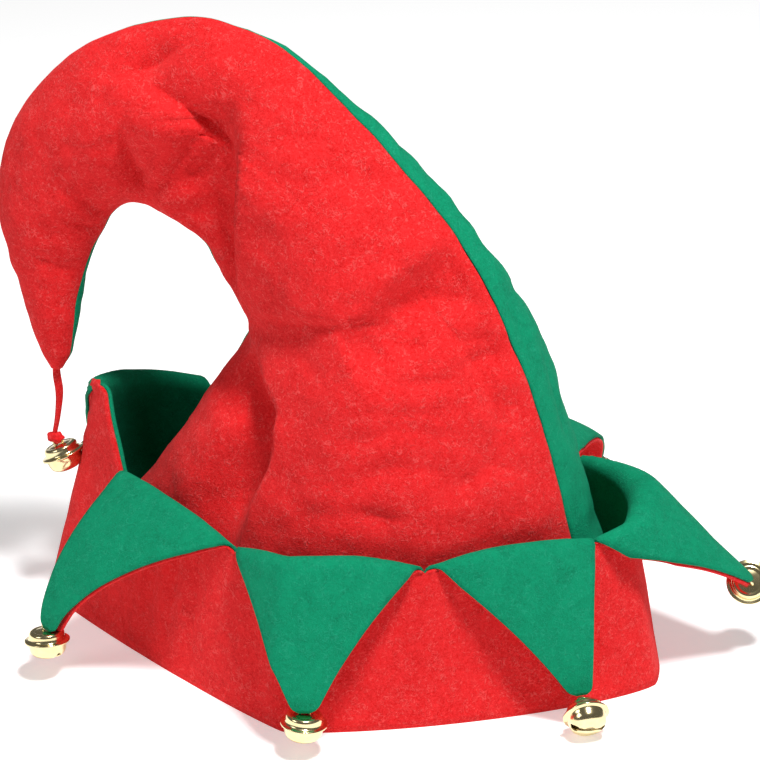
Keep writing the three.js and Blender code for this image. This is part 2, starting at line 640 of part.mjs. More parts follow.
// Felt strip at the crown's tip: starts inside the tip and ends over the bell's loop.
const tipSection = crownSection(1);
const tipMiddle = tipSection.loop[0].clone().lerp(tipSection.loop[60], 0.5);
const stripPath = new THREE.CatmullRomCurve3(
  [
    { x: 0, y: 0, down: -2 },
    { x: -0.3, y: 0, down: 3 },
    { x: 0.2, y: 0.4, down: 11 },
    { x: -0.6, y: -0.3, down: 20 },
    { x: -2.4, y: 0, down: STRIP_LENGTH },
  ].map((row) => new THREE.Vector3(tipMiddle.x + row.x, tipMiddle.y + row.y, tipMiddle.z - row.down)),
);
const stripShape = new THREE.Shape([
  new THREE.Vector2(-STRIP_WIDTH / 2, -STRIP_THICK / 2),
  new THREE.Vector2(STRIP_WIDTH / 2, -STRIP_THICK / 2),
  new THREE.Vector2(STRIP_WIDTH / 2, STRIP_THICK / 2),
  new THREE.Vector2(-STRIP_WIDTH / 2, STRIP_THICK / 2),
]);
const stripSolid = new THREE.ExtrudeGeometry(stripShape, { steps: 12, extrudePath: stripPath });
addMesh("tip_strip", stripSolid, RED, false);
const tipTop = new THREE.Vector3(-0.4, 0.05, 0.92).normalize();
const tipBell = stripPath.getPoint(1).addScaledVector(tipTop, -(BELL_HANG + LAYER_GAP));
addBell("tip_bell", tipBell, tipTop, new THREE.Vector3(0, 1, 0));

// The frame: bottom centre of everything but the strip and its bell.
const box = new THREE.Box3();
for (const mesh of group.children) {
  if (!mesh.name.startsWith("tip_")) box.expandByObject(mesh);
}
const centre = box.getCenter(new THREE.Vector3());
for (const mesh of group.children) mesh.geometry.translate(-centre.x, -centre.y, -box.min.z);

export default group;
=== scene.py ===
# Elf hat of felt: a horn-shaped crown of a red and a green panel, a turned-up cuff of two layers
# cut to points that fold outward, a jingle bell on each point and one on a strip at the peak.
import math

import bmesh
import bpy
import numpy as np
from mathutils import Matrix, Vector, noise


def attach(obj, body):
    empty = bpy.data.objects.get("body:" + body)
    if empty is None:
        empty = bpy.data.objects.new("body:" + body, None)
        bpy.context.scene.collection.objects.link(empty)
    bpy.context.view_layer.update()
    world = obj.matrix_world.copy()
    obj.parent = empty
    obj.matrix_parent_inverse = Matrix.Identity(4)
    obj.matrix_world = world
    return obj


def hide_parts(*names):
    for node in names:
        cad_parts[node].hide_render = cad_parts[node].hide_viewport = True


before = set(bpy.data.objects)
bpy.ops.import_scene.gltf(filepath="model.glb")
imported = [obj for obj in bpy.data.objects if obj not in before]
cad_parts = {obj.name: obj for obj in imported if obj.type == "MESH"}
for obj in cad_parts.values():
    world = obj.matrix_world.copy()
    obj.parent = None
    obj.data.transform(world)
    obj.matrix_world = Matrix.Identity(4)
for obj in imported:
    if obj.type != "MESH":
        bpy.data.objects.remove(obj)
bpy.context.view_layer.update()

# Camera and studio: the hat stands on a white sweep, seen a little from its right and from above.
# A soft key light is almost overhead, a little to the right, with a weak fill from the left and a
# faint even surround.
look_at = Vector((0.0022, -0.0117, 0.1055))
turn, height = math.radians(16.9), math.radians(25)
toward_camera = Vector((
    math.cos(height) * math.sin(turn),
    -math.cos(height) * math.cos(turn),
    math.sin(height),
))
camera_data = bpy.data.cameras.new("camera")
camera_data.sensor_width = 36
camera_data.lens = 135.24
camera_data.clip_end = 20
floor_half = 3
camera = bpy.data.objects.new("camera", camera_data)
camera.location = look_at + toward_camera
camera.rotation_euler = toward_camera.to_track_quat("Z", "Y").to_euler()
bpy.context.collection.objects.link(camera)
bpy.context.scene.camera = camera
bpy.context.scene.view_settings.view_transform = "Standard"

sweep_mesh = bpy.data.meshes.new("floor")
sweep = bmesh.new()
bmesh.ops.create_grid(sweep, x_segments=1, y_segments=1, size=floor_half)
sweep.to_mesh(sweep_mesh)
sweep.free()
floor = bpy.data.objects.new("floor", sweep_mesh)
bpy.context.collection.objects.link(floor)
paper = bpy.data.materials.new("white_paper")
paper.use_nodes = True
paper_shader = paper.node_tree.nodes["Principled BSDF"]
paper_shader.inputs["Base Color"].default_value = (0.93, 0.93, 0.93, 1)
paper_shader.inputs["Roughness"].default_value = 0.8
paper_shader.inputs["Emission Color"].default_value = (1, 1, 1, 1)
paper_shader.inputs["Emission Strength"].default_value = 0.42
floor.data.materials.append(paper)

world = bpy.data.worlds.new("surround")
bpy.context.scene.world = world
world.use_nodes = True
surround = world.node_tree.nodes["Background"]
surround.inputs["Color"].default_value = (1, 1, 1, 1)
surround.inputs["Strength"].default_value = 0.12

# name, place, size in m, power in W
for name, place, size, power in (
    ("key", (0.34, -0.3, 1.34), 0.22, 21.5),
    ("fill", (-0.85, -0.8, 0.8), 0.5, 2.4),
):
    lamp = bpy.data.lights.new(name, "AREA")
    lamp.size = size
    lamp.energy = power
    lamp_object = bpy.data.objects.new(name, lamp)
    lamp_object.location = place
    aim = Vector((0, 0, 0.1)) - Vector(place)
    lamp_object.rotation_euler = aim.to_track_quat("-Z", "Y").to_euler()
    bpy.context.collection.objects.link(lamp_object)

# Crown: two panels of pressed felt 1.5 mm thick, red on the near side and green on the far one,
# sewn together inside along the outer and the inner curve. The empty peak bends over forward, so
# the felt breaks into creases that run out from the inside of the bend.
# Sizes here and below are in mm, and shares are of the way along the crown or across a panel.
MM = 0.001
RIM_LENGTH, RIM_NEAR, RIM_FAR, HAT_HEIGHT = 231, 68, 76, 231
SEAM_TURN = 16
HALF = RIM_LENGTH / 2
RIM_CENTRE = np.array([-11.6, -11.67, 0])
crown_felt = 1.5
panel_gap = 0.3
crown_rows, crown_columns = 210, 120
LOOP_STEPS = 720
CREASE_END, FOLD_RECOVERY = 0.06, 2.2
depth_limit, past_limit = 10, 4
calm_share, closed_share, closed_by = 0.12, 0.035, 0.5
seam_share, outer_ease, inner_ease = 0.02, 0.07, 0.12
# Unevenness: size of its lumps in mm, seed, height in mm
UNEVEN = ((26, 3.1, 0.9), (12, 8.7, 1.1), (5, 5.3, 0.35))

# outX outZ inX inZ near far pIn pOut pFar turnOut turnIn, from the rim to the peak's tip
CROWN = (
    (0.981, 0, -0.981, 0, 0.9683, 0.9717, 1.09, 1.24, 2, 0.75, 0.875),
    (0.883, 0.121, -0.823, 0.117, 0.85, 0.87, 1.2, 1.3, 1.95, 0.7, 0.875),
    (0.797, 0.238, -0.667, 0.229, 0.75, 0.8, 1.42, 1.38, 1.95, 0.66, 0.8125),
    (0.742, 0.329, -0.528, 0.325, 0.68, 0.725, 1.6, 1.52, 1.92, 0.64, 0.75),
    (0.696, 0.41, -0.424, 0.411, 0.63, 0.65, 1.65, 1.65, 1.92, 0.68, 0.625),
    (0.641, 0.493, -0.336, 0.482, 0.57, 0.58, 1.62, 1.62, 1.9, 0.68, 0.375),
    (0.58, 0.572, -0.291, 0.532, 0.52, 0.515, 1.58, 1.58, 1.84, 0.68, 0.25),
    (0.494, 0.654, -0.332, 0.575, 0.47, 0.445, 1.55, 1.55, 1.78, 0.6, 0.125),
    (0.36, 0.739, -0.39, 0.615, 0.42, 0.38, 1.5, 1.5, 1.7, 0.42, 0),
    (0.191, 0.822, -0.434, 0.653, 0.37, 0.33, 1.5, 1.5, 1.7, 0.3, 0),
    (0.006, 0.902, -0.509, 0.68, 0.33, 0.3, 1.5, 1.5, 1.7, 0.15, 0),
    (-0.198, 0.972, -0.575, 0.694, 0.3, 0.27, 1.5, 1.5, 1.7, 0, 0),
    (-0.423, 1, -0.623, 0.703, 0.28, 0.25, 1.5, 1.5, 1.7, -0.1, 0),
    (-0.621, 0.982, -0.686, 0.701, 0.26, 0.23, 1.5, 1.5, 1.7, -0.1, 0),
    (-0.807, 0.936, -0.74, 0.68, 0.24, 0.21, 1.55, 1.55, 1.73, -0.05, 0),
    (-0.97, 0.861, -0.775, 0.65, 0.21, 0.18, 1.6, 1.6, 1.76, 0, 0),
    (-1.068, 0.771, -0.808, 0.619, 0.18, 0.155, 1.65, 1.65, 1.8, 0, -0.0625),
    (-1.101, 0.68, -0.838, 0.576, 0.155, 0.135, 1.7, 1.7, 1.82, 0, -0.0625),
    (-1.078, 0.601, -0.856, 0.537, 0.13, 0.115, 1.75, 1.75, 1.85, 0, -0.125),
    (-1.031, 0.524, -0.872, 0.494, 0.105, 0.092, 1.85, 1.85, 1.9, 0, -0.125),
    (-0.991, 0.455, -0.89, 0.448, 0.078, 0.07, 2, 2, 2, 0, -0.0625),
    (-0.97, 0.411, -0.914, 0.409, 0.055, 0.05, 2, 2, 2, 0, 0),
)

# Dents and drag folds: along and round at each end, half width and depth in mm
DENTS = {
    "near": (
        (0.535, 0.35, 0.5, 0.75, 9, 2),
        (0.58, 0.55, 0.55, 0.8, 6, 1.5),
        (0.64, 0.35, 0.6, 0.75, 6, 1),
        (0.28, 0.25, 0.3, 0.6, 9, 1.5),
        (0.2, 0.3, 0.17, 0.55, 12, 1.5),
        (0.75, 0.35, 0.7, 0.6, 9, 1.5),
    ),
    "far": (
        (0.42, 0.5, 0.39, 0.8, 11, 4.5),
        (0.53, 0.5, 0.49, 0.8, 9, 4),
        (0.27, 0.28, 0.25, 0.5, 9, 3),
        (0.14, 0.35, 0.2, 0.7, 12, 3),
    ),
}

# Creases: places (along, across) on each, half width on its left and right side and depth in mm.
# A width of 0 makes a fold: that side stays out and the other falls away from a sharp brow.
CREASES = {
    "near": (
        (((0.52, 0.25), (0.512, 0.29), (0.5, 0.36), (0.482, 0.465), (0.46, 0.575),
          (0.425, 0.705), (0.385, 0.785), (0.34, 0.86)), 0, 11, 13),
        (((0.3, 0.93), (0.28, 0.9), (0.258, 0.795), (0.233, 0.715), (0.212, 0.645), (0.19, 0.62),
          (0.163, 0.61), (0.128, 0.615), (0.105, 0.61), (0.07, 0.6)), 0, 11, 13),
        (((0.208, 0.645), (0.215, 0.705), (0.212, 0.775)), 2, 4, 2.5),
        (((0.163, 0.63), (0.14, 0.66), (0.125, 0.7)), 4, 4, 1.6),
        (((0.5, 0.4), (0.503, 0.5), (0.51, 0.64), (0.525, 0.8)), 3.4, 3, 5),
        (((0.5, 0.42), (0.487, 0.495), (0.463, 0.715), (0.453, 0.88)), 2.8, 3.4, 4.4),
        (((0.565, 0.895), (0.598, 0.745), (0.608, 0.6), (0.613, 0.495)), 2.6, 5, 4.6),
        (((0.542, 0.85), (0.537, 0.625), (0.535, 0.5)), 3.2, 2.6, 4.6),
        (((0.508, 0.42), (0.52, 0.435), (0.532, 0.445)), 2.6, 3, 1.4),
        (((0.585, 0.905), (0.578, 0.775), (0.568, 0.635), (0.562, 0.575)), 3, 1.5, 1.5),
        (((0.628, 0.25), (0.6, 0.21), (0.58, 0.14)), 7, 6, 6.5),
        (((0.6, 0.3), (0.555, 0.39), (0.524, 0.42), (0.503, 0.42)), 10, 4, 6.5),
        (((0.67, 0.98), (0.693, 0.775), (0.715, 0.575)), 2, 4, 1.5),
        (((0.82, 0.49), (0.812, 0.685), (0.802, 0.95)), 2, 3, 1.2),
        (((0.71, 0.965), (0.728, 0.82), (0.745, 0.67)), 2, 3, 1),
        (((0.315, 0.8), (0.325, 0.58), (0.328, 0.42), (0.32, 0.31)), 1.6, 6, 2.6),
        (((0.318, 0.5), (0.33, 0.42), (0.35, 0.31), (0.366, 0.185), (0.372, 0.0)), 0, 12, 9.5),
        (((0.335, 0.485), (0.348, 0.365), (0.355, 0.255)), 2, 6, 1.8),
        (((0.268, 0.2), (0.278, 0.07), (0.274, 0)), 2.5, 6, 2.8),
        (((0.297, 0.16), (0.292, 0.06), (0.282, 0)), 2.8, 5, 2.2),
        (((0.333, 0.33), (0.335, 0.145), (0.323, 0.015)), 2.8, 5, 2.2),
        (((0.258, 0.345), (0.263, 0.23), (0.253, 0.125)), 2.8, 5, 2.2),
        (((0.235, 0.4), (0.232, 0.28), (0.24, 0.17)), 2.6, 4.5, 2),
        (((0.175, 0.42), (0.185, 0.33), (0.178, 0.22)), 2.6, 4.5, 1.8),
        (((0.14, 0.5), (0.145, 0.38), (0.138, 0.3)), 2.6, 5, 1.8),
        (((0.31, 0.155), (0.27, 0.115), (0.223, 0.095), (0.18, 0.14)), 7, 4, 3.2),
        (((0.24, 0.035), (0.208, 0.03), (0.168, 0.03)), 5, 5, 1.5),
        (((0.205, 0.47), (0.22, 0.315), (0.205, 0.175)), 2.8, 5.5, 2.2),
        (((0.155, 0.245), (0.18, 0.14), (0.165, 0.055)), 5, 3, 2.2),
    ),
    "far": (
        (((0.323, 0.03), (0.318, 0.125), (0.302, 0.2)), 2, 3, 2),
        (((0.268, 0.085), (0.212, 0.07), (0.17, 0.065)), 2, 3, 1.3),
        (((0.312, 0.035), (0.288, 0.04), (0.263, 0.05)), 2, 2, 1.2),
        (((0.54, 0.1), (0.51, 0.22), (0.5, 0.4), (0.47, 0.6), (0.42, 0.8)), 9, 0, 5),
        (((0.28, 0.9), (0.24, 0.72), (0.2, 0.6), (0.12, 0.6)), 11, 0, 4.5),
        (((0.56, 0.9), (0.59, 0.7), (0.6, 0.5)), 4, 2, 1.8),
        (((0.54, 0.85), (0.535, 0.6), (0.54, 0.5)), 2, 3, 1.5),
        (((0.46, 0.85), (0.48, 0.65), (0.49, 0.5)), 3, 2, 1.6),
        (((0.68, 0.95), (0.7, 0.75), (0.72, 0.55)), 3, 2, 1.2),
        (((0.3, 0.9), (0.33, 0.65), (0.34, 0.4)), 4, 2, 1.4),
        (((0.35, 0.3), (0.36, 0.15), (0.35, 0.03)), 7, 3, 1.6),
        (((0.2, 0.45), (0.22, 0.3), (0.2, 0.15)), 6, 3, 1.6),
    ),
}


def smooth_run(rows, share):
    """The columns of a table at shares of the way through its rows."""
    rows = np.asarray(rows, float)
    at = np.clip(np.atleast_1d(share), 0, 1) * (len(rows) - 1)
    k = np.minimum(at.astype(int), len(rows) - 2)
    f = (at - k)[:, None]
    b, c = rows[k], rows[k + 1]
    before = np.where((k == 0)[:, None], 2 * b - c, rows[np.maximum(k - 1, 0)])
    last = len(rows) - 1
    after = np.where((k == last - 1)[:, None], 2 * c - b, rows[np.minimum(k + 2, last)])
    slope0, slope1 = (c - before) / 2, (after - b) / 2
    return (
        b * (2 * f**3 - 3 * f**2 + 1)
        + slope0 * (f**3 - 2 * f**2 + f)
        + c * (3 * f**2 - 2 * f**3)
        + slope1 * (f**3 - f**2)
    )


def panel_place(side, along, across):
    """Places on a crown panel: along 0 rim..1 tip, across 0 outer..1 inner seam (rows, columns, 3)."""
    turn = np.linspace(0, 2 * math.pi, LOOP_STEPS + 1)
    near, back = turn < math.pi, turn < math.pi / 2
    rows = []
    for row in smooth_run(CROWN, along):
        out_x, out_z, in_x, in_z, wide, far_wide, p_in, p_out, p_far, out_turn, in_turn = row
        p = np.where(near, np.where(back, p_out, p_in), p_far)
        swing = np.sign(np.cos(turn)) * np.abs(np.cos(turn)) ** (2 / p)
        bulge = np.sign(np.sin(turn)) * np.abs(np.sin(turn)) ** (2 / p)
        x = ((out_x + in_x) + (out_x - in_x) * swing) * HALF / 2
        z = ((out_z + in_z) + (out_z - in_z) * swing) * HAT_HEIGHT / 2
        y = -np.where(near, wide * RIM_NEAR, far_wide * RIM_FAR) * bulge
        loop = np.stack([x, y, z], 1)
        length = np.concatenate([[0], np.cumsum(np.linalg.norm(np.diff(loop, axis=0), axis=1))])
        start = out_turn * SEAM_TURN + panel_gap / 2
        end = length[LOOP_STEPS // 2] + in_turn * SEAM_TURN - panel_gap / 2
        if side == "far":
            start, end = length[-1] + start - panel_gap, end + panel_gap
        wanted = np.mod(start + (end - start) * np.asarray(across), length[-1])
        rows.append(np.stack([np.interp(wanted, length, loop[:, k]) for k in range(3)], 1))
    return np.array(rows)


def away_from_line(places, a, b):
    """Distance of each place from the line between two points."""
    way = b - a
    share = np.clip(((places - a) @ way) / max(way @ way, 1e-9), 0, 1)
    return np.linalg.norm(places - a - share[..., None] * way, axis=-1)


def creased(places, outward, line, left, right, deep):
    """Depth of a crease along a line of places, with a width of its own on each side."""
    nearest = np.full(places.shape[:2], 1e9)
    depth = np.zeros(places.shape[:2])
    lengths = np.linalg.norm(np.diff(line, axis=0), axis=1)
    done = 0
    for a, b, long in zip(line, line[1:], lengths):
        way = (b - a) / long
        at = (places - a) @ way
        away = away_from_line(places, a, b)
        aside = np.cross(np.broadcast_to(way, places.shape), places - a)
        leftward = np.einsum("ijk,ijk->ij", aside, outward) > 0
        share = (done + np.clip(at, 0, long)) / lengths.sum()
        wide = np.where(leftward, left, right)
        far_out = away / np.maximum(wide, 0.1)
        if left and right:
            taper = np.sin(math.pi * (CREASE_END + (1 - 2 * CREASE_END) * share)) ** 0.7
            form = np.exp(-far_out**1.35)
        else:
            taper = np.sin(math.pi * np.clip(share, 0, 1)) ** 0.6
            fall = np.sin(np.minimum(far_out, 1) * math.pi / 2)
            recovery = 0.5 + 0.5 * np.cos(math.pi * np.clip((far_out - 1) / FOLD_RECOVERY, 0, 1))
            form = np.where(wide > 0, fall * recovery, 0)
        here = deep * taper * form
        closer = away < nearest
        depth = np.where(closer, here, depth)
        nearest = np.minimum(nearest, away)
        done += long
    return depth


def rough(places, size, seed):
    """Soft unevenness of the felt, -1..1, in lumps of a size in mm."""
    flat = places.reshape(-1, 3) / size + seed
    return np.array([noise.noise(Vector(p)) for p in flat]).reshape(places.shape[:-1])


def felt_material(name, sheen, deep, middle, lit, fleck):
    """Pressed felt: matted fibres with pale flecks and dark specks, and a soft sheen."""
    felt = bpy.data.materials.new(name)
    felt.use_nodes = True
    nodes, links = felt.node_tree.nodes, felt.node_tree.links
    shader = nodes["Principled BSDF"]
    shader.inputs["Roughness"].default_value = 0.95
    shader.inputs["Specular IOR Level"].default_value = 0.12
    shader.inputs["Sheen Weight"].default_value = sheen
    shader.inputs["Sheen Roughness"].default_value = 0.5
    shader.inputs["Sheen Tint"].default_value = (*fleck, 1)
    spot = nodes.new("ShaderNodeTexCoord")

    def cloud(scale, detail, rough_share, turned=None):
        place = spot.outputs["Object"]
        if turned is not None:
            mapping = nodes.new("ShaderNodeMapping")
            mapping.inputs["Rotation"].default_value = turned
            links.new(place, mapping.inputs["Vector"])
            place = mapping.outputs["Vector"]
        tex = nodes.new("ShaderNodeTexNoise")
        tex.inputs["Scale"].default_value = scale
        tex.inputs["Detail"].default_value = detail
        tex.inputs["Roughness"].default_value = rough_share
        tex.inputs["Distortion"].default_value = 1.2
        links.new(place, tex.inputs["Vector"])
        return tex.outputs["Fac"]

    def span(value, low, high):
        ramp = nodes.new("ShaderNodeMapRange")
        ramp.inputs["From Min"].default_value = low
        ramp.inputs["From Max"].default_value = high
        links.new(value, ramp.inputs["Value"])
        return ramp.outputs["Result"]

    def blend(factor, first, second):
        mix = nodes.new("ShaderNodeMix")
        mix.data_type = "RGBA"
        links.new(factor, mix.inputs["Factor"])
        for socket, colour in (("A", first), ("B", second)):
            target = [s for s in mix.inputs if s.name == socket and s.type == "RGBA"][0]
            if isinstance(colour, tuple):
                target.default_value = (*colour, 1)
            else:
                links.new(colour, target)
        return [s for s in mix.outputs if s.type == "RGBA"][0]

    def hairs(scale, width, shift):
        """Thin curling fibres: the lines where a cloud crosses its middle value, in short lengths."""
        away = nodes.new("ShaderNodeMath")
        away.operation = "SUBTRACT"
        away.inputs[1].default_value = 0.5
        links.new(cloud(scale, 1, 0.5, (shift, 2 * shift, 0)), away.inputs[0])
        size = nodes.new("ShaderNodeMath")
        size.operation = "ABSOLUTE"
        links.new(away.outputs[0], size.inputs[0])
        line = span(size.outputs[0], width, 0)
        length = span(cloud(scale * 0.6, 1, 0.5, (shift + 1, 0, 0.5)), 0.5, 0.62)
        short = nodes.new("ShaderNodeMath")
        short.operation = "MULTIPLY"
        links.new(line, short.inputs[0])
        links.new(length, short.inputs[1])
        return short.outputs[0]

    def most(first, second):
        node = nodes.new("ShaderNodeMath")
        node.operation = "MAXIMUM"
        links.new(first, node.inputs[0])
        links.new(second, node.inputs[1])
        return node.outputs[0]

    mottle = span(cloud(130, 7, 0.62), 0.3, 0.62)
    matted = span(cloud(1300, 3, 0.6), 0.35, 0.75)
    fibres = most(hairs(330, 0.035, 0.4), hairs(520, 0.05, 1.7))
    ground = blend(mottle, deep, middle)
    tufts = blend(matted, ground, lit)
    soft_fibres = nodes.new("ShaderNodeMath")
    soft_fibres.operation = "MULTIPLY"
    soft_fibres.inputs[1].default_value = 0.36
    links.new(fibres, soft_fibres.inputs[0])
    links.new(blend(soft_fibres.outputs[0], tufts, fleck), shader.inputs["Base Color"])

    relief = nodes.new("ShaderNodeMath")
    relief.operation = "ADD"
    links.new(matted, relief.inputs[0])
    links.new(fibres, relief.inputs[1])
    bump = nodes.new("ShaderNodeBump")
    bump.inputs["Strength"].default_value = 0.5
    bump.inputs["Distance"].default_value = 0.0004
    links.new(relief.outputs[0], bump.inputs["Height"])
    links.new(bump.outputs["Normal"], shader.inputs["Normal"])
    return felt


def mesh_object(name, bm, material=None):
    """An object in the scene from a bmesh, smooth all over where it has a material."""
    mesh = bpy.data.meshes.new(name)
    bm.to_mesh(mesh)
    bm.free()
    made = bpy.data.objects.new(name, mesh)
    bpy.context.collection.objects.link(made)
    if material:
        mesh.materials.append(material)
        for face in mesh.polygons:
            face.use_smooth = True
    return made


def felt_wall(piece, thick):
    """Gives a felt piece its thickness in mm, half on each side of its middle surface."""
    wall = piece.modifiers.new("felt", "SOLIDIFY")
    wall.thickness = thick * MM
    wall.offset = 0


def grid_points(bm, rows, columns):
    """Row and column of each vertex of a fresh create_grid, in the order of its vertices."""
    spots = np.array([v.co[:] for v in bm.verts])
    column = np.rint((spots[:, 0] + 1) / 2 * columns).astype(int)
    row = np.rint((spots[:, 1] + 1) / 2 * rows).astype(int)
    return row, column


def felt_piece(name, node, bm, thick, material):
    """A felt piece from its middle surface: gives it its thickness, finish and place in the part."""
    piece = mesh_object(name, bm, material)
    felt_wall(piece, thick)
    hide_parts(node)
    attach(piece, "root")
    return piece


# sheen, then the colours of the deep, the middle and the lit fibres and of the flecks
felt_red = felt_material(
    "felt_red", 0.26, (0.56, 0.003, 0.004), (0.72, 0.01, 0.012), (0.86, 0.036, 0.039), (0.96, 0.18, 0.17)
)
felt_green = felt_material(
    "felt_green", 0.08, (0.0015, 0.165, 0.078), (0.0025, 0.25, 0.12), (0.005, 0.3, 0.15), (0.03, 0.4, 0.24)
)

for side, node, name, felt, slot in (
    ("near", "crown_red", "red_panel", felt_red, "felt_red"),
    ("far", "crown_green", "green_panel", felt_green, "felt_green"),
):
    along = np.linspace(0, 1, crown_rows + 1)
    across = np.linspace(0, 1, crown_columns + 1)
    places = panel_place(side, along, across)
    run = np.gradient(places, axis=0)
    cross = np.gradient(places, axis=1)
    outward = np.cross(run, cross) * (1 if side == "near" else -1)
    outward /= np.linalg.norm(outward, axis=2, keepdims=True)
    depth = np.zeros(places.shape[:2])
    for a0, r0, a1, r1, wide, deep in DENTS[side]:
        ends = [panel_place(side, [a], [r])[0, 0] for a, r in ((a0, r0), (a1, r1))]
        depth += deep * np.exp(-(away_from_line(places, *ends) / wide) ** 2)
    for spots, left, right, deep in CREASES[side]:
        line = np.array([panel_place(side, [a], [r])[0, 0] for a, r in spots])
        depth += creased(places, outward, line, left, right, deep)
    past = depth_limit + past_limit * np.tanh((depth - depth_limit) / past_limit)
    depth = np.where(depth > depth_limit, past, depth)
    calm = np.minimum(1, np.minimum(along, 1 - along) / calm_share)[:, None]
    uneven = sum(high * rough(places, size, seed) for size, seed, high in UNEVEN)
    from_outer = (seam_share + across) / outer_ease
    from_inner = (1 + seam_share - across) / inner_ease
    edge = np.minimum(1, np.minimum(from_outer, from_inner))[None, :]
    places -= outward * ((depth * edge + uneven * (0.3 + 0.7 * edge)) * calm)[..., None]
    # the last of the peak is drawn together round the strip
    closing = np.clip((along - 1 + closed_share) / closed_share, 0, 1) ** 1.5
    middle = (panel_place("near", along, [0, 1]).sum(axis=1) / 2)[:, None]
    places += (middle - places) * (closed_by * closing)[:, None, None]
    places = (places + RIM_CENTRE) * MM
    bm = bmesh.new()
    bmesh.ops.create_grid(bm, x_segments=crown_columns, y_segments=crown_rows, size=1)
    row, column = grid_points(bm, crown_rows, crown_columns)
    for vertex, j, i in zip(bm.verts, row, column):
        vertex.co = places[j, i]
    if side == "far":
        bmesh.ops.reverse_faces(bm, faces=bm.faces)
    panel = felt_piece(name, node, bm, crown_felt, felt)

# Cuff: two layers of felt 1.2 mm thick laid together, red outside and green inside, sewn in a ring
# to the crown's rim and turned up round it. Seven points are cut along its top and fold outward.
CUFF_HEIGHT, POINT_LENGTH, FOLD_RADIUS, TIP_WIDTH = 57, 69, 4, 8.6
cuff_felt, layer_gap, tip_spread, lining_lift = 1.2, 0.3, 0.68, 0.6
across_count, point_rows, wall_rows = 26, 56, 18
END_ROUND, EDGE_EASE, LEAST_RADIUS, DROOP_STEPS = 3.4, 8, 2.1, 12
# Lumps: size and height in mm
LUMPS = ((13, 0.3), (36, 0.9))
lumps_from, tip_grip, tip_ease = 12, 16, 9
PLANS = {
    "rim": dict(front=1, back=1, near=RIM_NEAR, far=RIM_FAR, p_front=1.09, p_back=1.25, p_far=2.0),
    "valley": dict(front=0.874, back=0.9, near=62, far=70, p_front=1.1, p_back=1.25, p_far=2.2),
}
# share of the way round and height as a share of the cuff's
VALLEYS = (
    (0.0555, 1.09), (0.1795, 1), (0.3186, 1), (0.4352, 1.02), (0.5846, 1.02), (0.725, 1), (0.8654, 1.06),
)
# start valley, stand, roll, lean, droop, swing, skew, arch, long, seat
POINTS = (
    (0, 0.029, 0.8, 56, 16, -30, 0, 0, 1.04, "felt"),
    (1, 0.0725, 0.95, 20, 8, -16, 0, 0, 0.93, "felt"),
    (2, 0.0362, 0.85, 26, 20, 46, 0, 0, 0.95, "end"),
    (3, 0.029, 1.625, 48, 44, -18, 0, 0.1304, 0.92, "end"),
    (4, 0.058, 1.35, 64, 16, -22, 0, 0.029, 0.98, "felt"),
    (5, 0.058, 1.05, 24, 6, 0, 0, 0, 0.96, "felt"),
    (6, 0.2754, 0.75, 33, 16, -26, 0.2029, 0, 0.95, "felt"),
)


def plan_point(plan, angle):
    """Plan of the cuff at angles round from the front corner, the red side first."""
    near, back = np.sin(angle) >= 0, np.cos(angle) < 0
    p = np.where(near, np.where(back, plan["p_back"], plan["p_front"]), plan["p_far"])
    reach = HALF * np.where(back, plan["back"], plan["front"])
    side = np.where(near, plan["near"], plan["far"])
    x = -reach * np.sign(np.cos(angle)) * np.abs(np.cos(angle)) ** (2 / p)
    y = -side * np.sign(np.sin(angle)) * np.abs(np.sin(angle)) ** (2 / p)
    return x, y


line_angles = np.linspace(0, 2 * math.pi, 1441)
line_x, line_y = plan_point(PLANS["valley"], line_angles)
line_length = np.concatenate([[0], np.cumsum(np.hypot(np.diff(line_x), np.diff(line_y)))])


def wall_point(share, high):
    """The cuff's wall at shares of the way round and heights, leaning in to the valley line."""
    angle = np.interp(np.mod(share, 1) * line_length[-1], line_length, line_angles)
    rim_x, rim_y = plan_point(PLANS["rim"], angle)
    valley_x, valley_y = plan_point(PLANS["valley"], angle)
    k = high / CUFF_HEIGHT
    x, y = rim_x + (valley_x - rim_x) * k, rim_y + (valley_y - rim_y) * k
    return np.stack(np.broadcast_arrays(x, y, high), -1)


def outward_at(share):
    """Level direction out of the cuff's wall at shares of the way round."""
    top = CUFF_HEIGHT + 0 * share
    step = wall_point(share + 0.006, top) - wall_point(share - 0.006, top)
    way = np.stack([step[..., 1], -step[..., 0], 0 * step[..., 0]], -1)
    return way / np.linalg.norm(way, axis=-1, keepdims=True)


def valley_of(number):
    """Share of the way round and height in mm of a valley, counted on past a whole round."""
    at, high = VALLEYS[number % len(VALLEYS)]
    return at + number // len(VALLEYS), high * CUFF_HEIGHT


